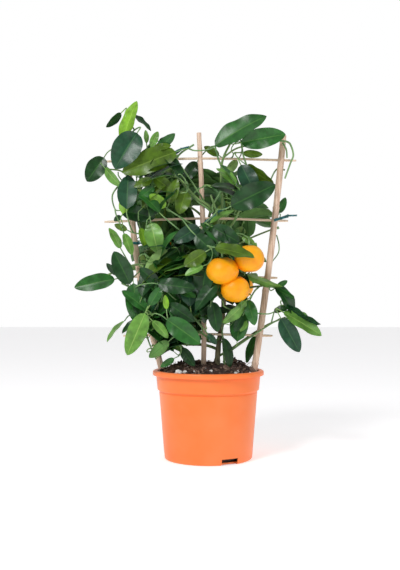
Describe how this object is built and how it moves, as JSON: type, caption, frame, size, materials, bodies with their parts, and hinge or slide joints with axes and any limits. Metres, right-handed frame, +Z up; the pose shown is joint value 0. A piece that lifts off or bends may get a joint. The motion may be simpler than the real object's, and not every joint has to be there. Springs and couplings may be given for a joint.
{
  "type": "potted kumquat tree",
  "caption": "Small citrus tree with ripe orange fruit in a plain plastic nursery pot, trained on a flat trellis of bamboo canes and thin cross splints.",
  "frame": {"origin": "centre of the flat underside of the pot", "axes": "+Z up along the pot's axis, -Y the front that faces the viewer, +X to the viewer's right, along the trellis"},
  "size_m": [0.3327, 0.1617, 0.4829],
  "materials": {
    "pot_plastic": "satin",
    "potting_mix": "matte",
    "bamboo": "satin",
    "bark": "matte",
    "green_shoot": "satin",
    "leaf": "satin",
    "fruit_peel": "satin",
    "twist_tie": "satin",
    "perlite": "matte"
  },
  "bodies": {
    "root": {"bough_back_left": "green_shoot", "bough_back_lower": "green_shoot", "bough_back_right": "green_shoot", "bough_back_upper_left": "green_shoot", "bough_back_upper_right": "green_shoot", "bough_far_left": "green_shoot", "bough_foot": "green_shoot", "bough_fruit": "green_shoot", "bough_left": "green_shoot", "bough_lower_left": "green_shoot", "bough_lower_middle": "green_shoot", "bough_lower_right": "green_shoot", "bough_middle": "green_shoot", "bough_right": "green_shoot", "bough_right_edge": "green_shoot", "bough_right_middle": "green_shoot", "bough_top_left": "green_shoot", "bough_top_right_low": "green_shoot", "bough_under_fruit": "green_shoot", "bough_upper_left": "green_shoot", "bough_upper_middle": "green_shoot", "bough_upper_right": "green_shoot", "cane_left": "bamboo", "cane_middle": "bamboo", "cane_right": "bamboo", "foliage_back_left": "leaf", "foliage_back_lower": "leaf", "foliage_back_right": "leaf", "foliage_back_upper_left": "leaf", "foliage_back_upper_right": "leaf", "foliage_far_left": "leaf", "foliage_foot": "leaf", "foliage_fruit": "leaf", "foliage_left": "leaf", "foliage_left_sprig": "leaf", "foliage_lower_left": "leaf", "foliage_lower_middle": "leaf", "foliage_middle": "leaf", "foliage_right_edge": "leaf", "foliage_right_middle": "leaf", "foliage_right_sprig": "leaf", "foliage_top_left": "leaf", "foliage_top_right": "leaf", "foliage_top_right_low": "leaf", "foliage_under_fruit": "leaf", "foliage_upper_left": "leaf", "foliage_upper_middle": "leaf", "foliage_upper_right": "leaf", "pot": "pot_plastic", "soil": "potting_mix", "splint_bottom": "bamboo", "splint_lower": "bamboo", "splint_top": "bamboo", "splint_upper": "bamboo", "trunk": "bark"}
  },
  "joints": []
}
